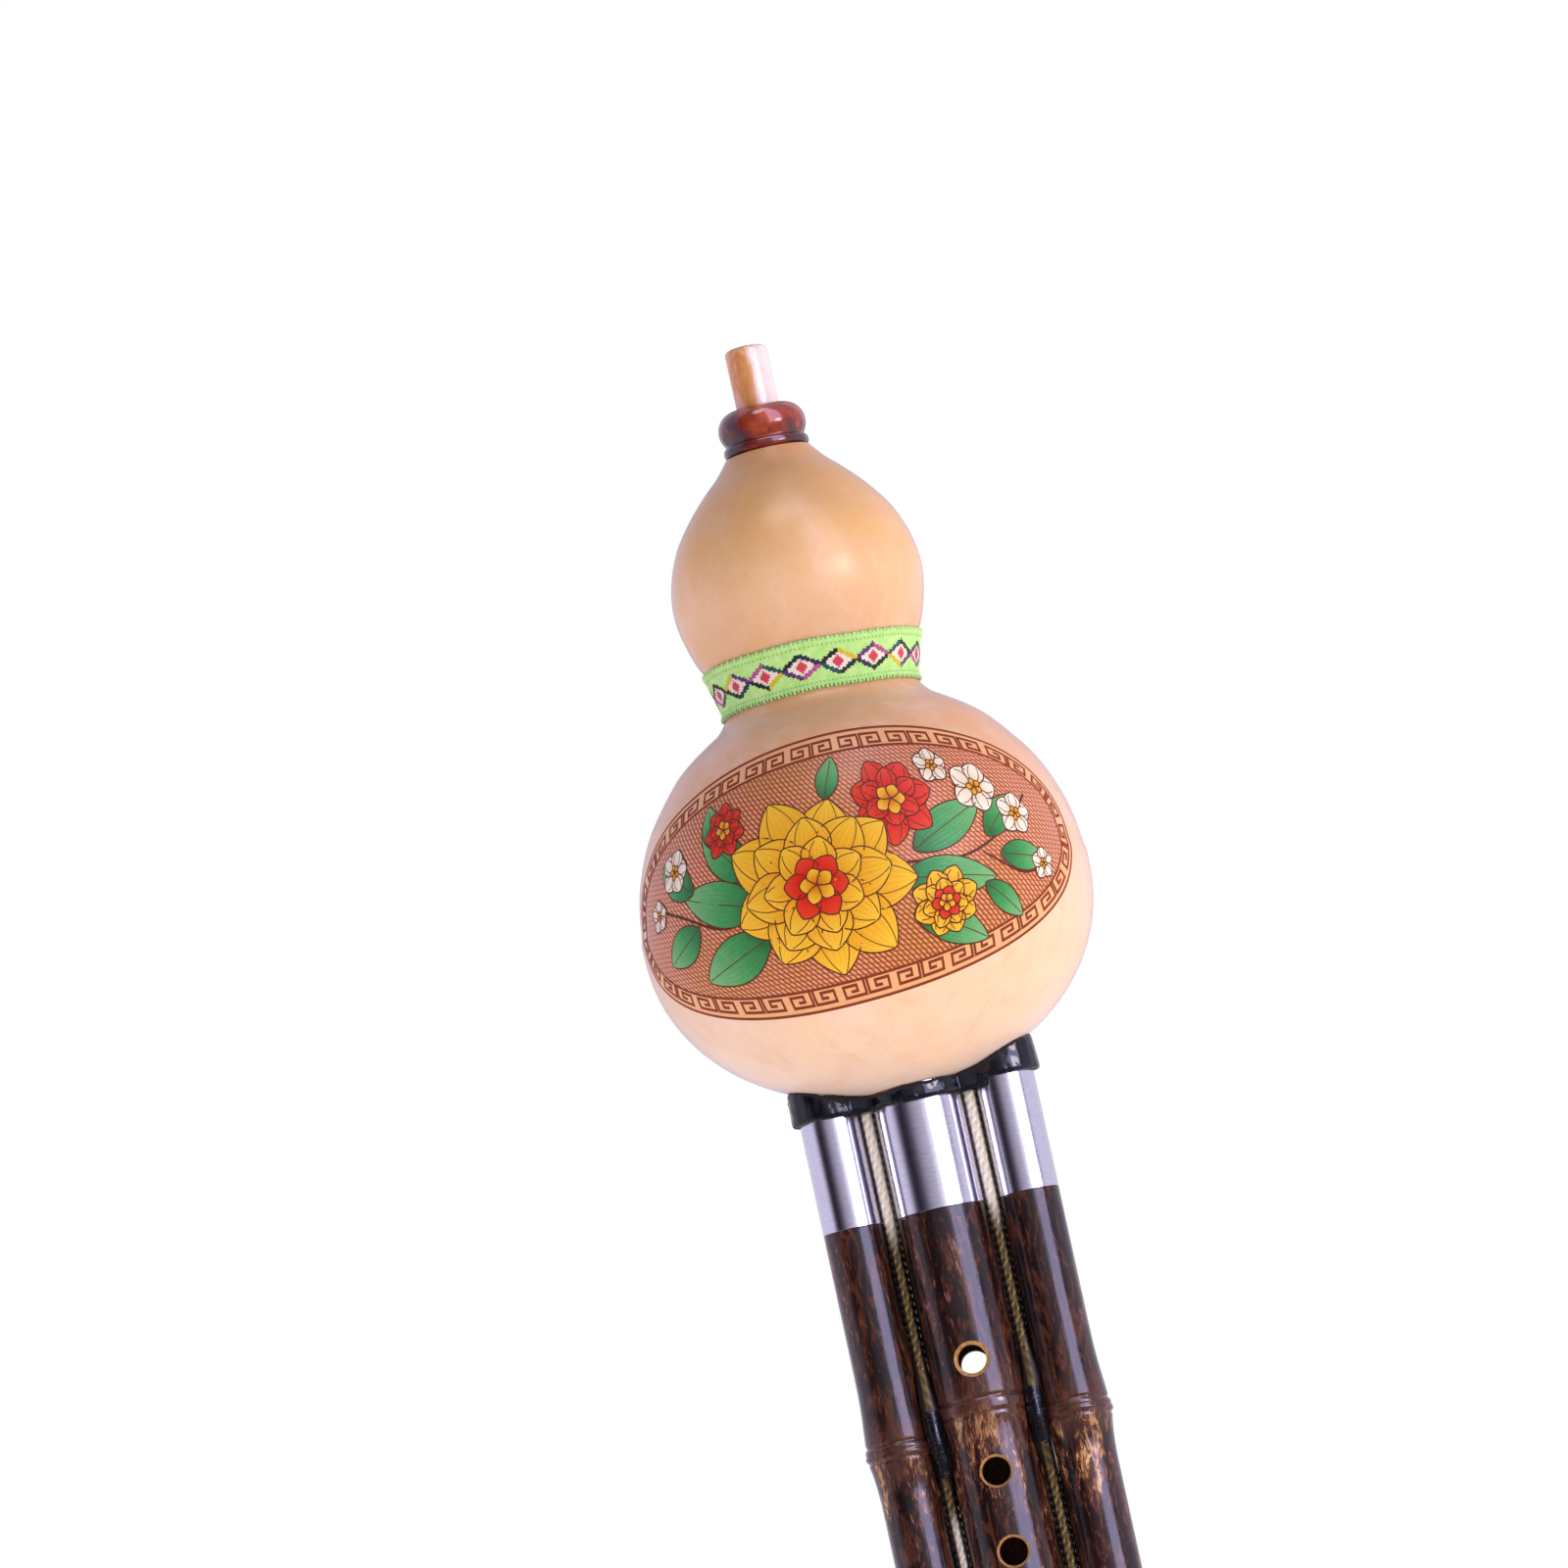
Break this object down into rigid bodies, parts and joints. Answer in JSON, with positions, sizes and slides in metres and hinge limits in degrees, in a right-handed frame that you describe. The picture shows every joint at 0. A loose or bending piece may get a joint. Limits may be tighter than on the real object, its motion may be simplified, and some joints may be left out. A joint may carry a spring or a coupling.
{
  "type": "hulusi",
  "caption": "Gourd flute: a hollow gourd wind chest with a mouthpiece on top, a fingered bamboo pipe below and a plugged bamboo drone on each side.",
  "frame": {"origin": "on the middle pipe's axis, at the level where the pipes leave the gourd, which is where a stand's cradle or a hand holds the instrument", "axes": "+Z along the middle pipe's axis towards the mouthpiece, -Y out of the front, where the finger holes are, +X to the right seen from the front"},
  "size_m": [0.0894, 0.0894, 0.404],
  "materials": {
    "gourd": "varnished dried gourd, satin",
    "ribbon": "woven braid",
    "red_wood": "turned, stained dark red, gloss lacquer",
    "mouthpiece": "polished pale tube",
    "black_wax": "black sealing wax, glossy",
    "steel": "polished",
    "bamboo": "mottled dark bamboo, gloss lacquer",
    "gilt_cord": "twisted gilt cord",
    "cork": "cork",
    "plug_wood": "turned, gloss lacquer",
    "reed_tube": "bare bamboo",
    "reed_bronze": "filed reed metal",
    "reed_wax": "beeswax"
  },
  "bodies": {
    "instrument": {"gourd_shell": "gourd", "waist_ribbon": "ribbon", "mouth_collar": "red_wood", "mouthpiece": "mouthpiece", "root_wax": "black_wax", "ferrule_main": "steel", "ferrule_left": "steel", "ferrule_right": "steel", "pipe_main": "bamboo", "pipe_left": "bamboo", "pipe_right": "bamboo", "end_cork": "cork", "groove_cord_left": "gilt_cord", "groove_cord_right": "gilt_cord", "node_wax_left": "black_wax", "node_wax_right": "black_wax", "end_wax_left": "black_wax", "end_wax_right": "black_wax", "reed_tube_main": "reed_tube", "reed_tube_left": "reed_tube", "reed_tube_right": "reed_tube", "tube_cap_main": "reed_tube", "tube_cap_left": "reed_tube", "tube_cap_right": "reed_tube", "reed_plate_main": "reed_bronze", "reed_plate_left": "reed_bronze", "reed_plate_right": "reed_bronze", "reed_wax_main": "reed_wax", "reed_wax_left": "reed_wax", "reed_wax_right": "reed_wax"},
    "plug_left": {"drone_plug_left": "plug_wood", "plug_cork_left": "cork"},
    "plug_right": {"drone_plug_right": "plug_wood", "plug_cork_right": "cork"},
    "tongue_main": {"reed_tongue_main": "reed_bronze"},
    "tongue_left": {"reed_tongue_left": "reed_bronze"},
    "tongue_right": {"reed_tongue_right": "reed_bronze"}
  },
  "joints": [
    {"name": "plug_left_pull", "type": "slide", "parent": "instrument", "child": "plug_left", "axis": [0, 0, -1], "range_m": [0, 0.01]},
    {"name": "plug_right_pull", "type": "slide", "parent": "instrument", "child": "plug_right", "axis": [0, 0, -1], "range_m": [0, 0.01]},
    {"name": "tongue_main_flex", "type": "hinge", "parent": "instrument", "child": "tongue_main", "pos_m": [0, -0.00715, 0.02235], "axis": [1, 0, 0], "range_deg": [-2.5, 2.5], "stiffness_Nm_per_rad": 0.002},
    {"name": "tongue_left_flex", "type": "hinge", "parent": "instrument", "child": "tongue_left", "pos_m": [-0.0175, -0.00415, 0.01938], "axis": [1, 0, 0], "range_deg": [-2.5, 2.5], "stiffness_Nm_per_rad": 0.001},
    {"name": "tongue_right_flex", "type": "hinge", "parent": "instrument", "child": "tongue_right", "pos_m": [0.0175, -0.00415, 0.01938], "axis": [1, 0, 0], "range_deg": [-2.5, 2.5], "stiffness_Nm_per_rad": 0.001}
  ]
}
